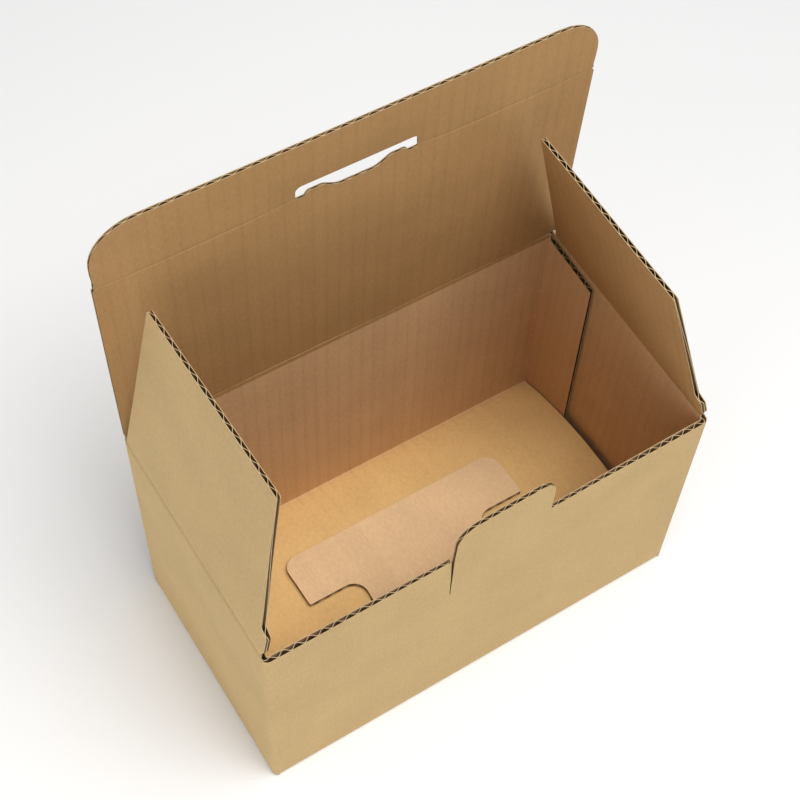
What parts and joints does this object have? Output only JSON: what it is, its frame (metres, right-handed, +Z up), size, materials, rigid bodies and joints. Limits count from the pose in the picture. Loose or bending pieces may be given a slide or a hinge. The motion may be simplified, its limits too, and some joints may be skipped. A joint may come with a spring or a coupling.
{
  "type": "corrugated tuck-top carton",
  "caption": "Open brown corrugated carton with a hinged lid and tuck flap, leaning side flaps, a front lock tab and a snap-lock bottom bowed upwards.",
  "frame": {"origin": "on the supporting surface, under the middle of the box", "axes": "+X along the length of the box, -Y towards the front wall with the lock tab, +Z up"},
  "size_m": [0.236, 0.128, 0.3005],
  "materials": {
    "corrugated_board": "plain uncoated kraft liner, matt, open flutes at the cut edges"
  },
  "bodies": {
    "carton": {"carton_body": "corrugated_board"},
    "left_flap": {"left_side_flap": "corrugated_board"},
    "right_flap": {"right_side_flap": "corrugated_board"},
    "lid": {"lid_panel": "corrugated_board"},
    "tuck": {"tuck_flap": "corrugated_board"}
  },
  "joints": [
    {"name": "lid_crease", "type": "hinge", "parent": "carton", "child": "lid", "pos_m": [0, 0.0625, 0.1448], "axis": [1, 0, 0], "range_deg": [-119, 4.5]},
    {"name": "tuck_crease", "type": "hinge", "parent": "lid", "child": "tuck", "pos_m": [0, 0.05614, 0.26613], "axis": [1, 0, 0], "range_deg": [-30, 90]},
    {"name": "left_flap_crease", "type": "hinge", "parent": "carton", "child": "left_flap", "pos_m": [-0.1165, 0, 0.1415], "axis": [0, 1, 0], "range_deg": [-107, 83]},
    {"name": "right_flap_crease", "type": "hinge", "parent": "carton", "child": "right_flap", "pos_m": [0.1165, 0, 0.1415], "axis": [0, -1, 0], "range_deg": [-117.5, 72.5]}
  ]
}
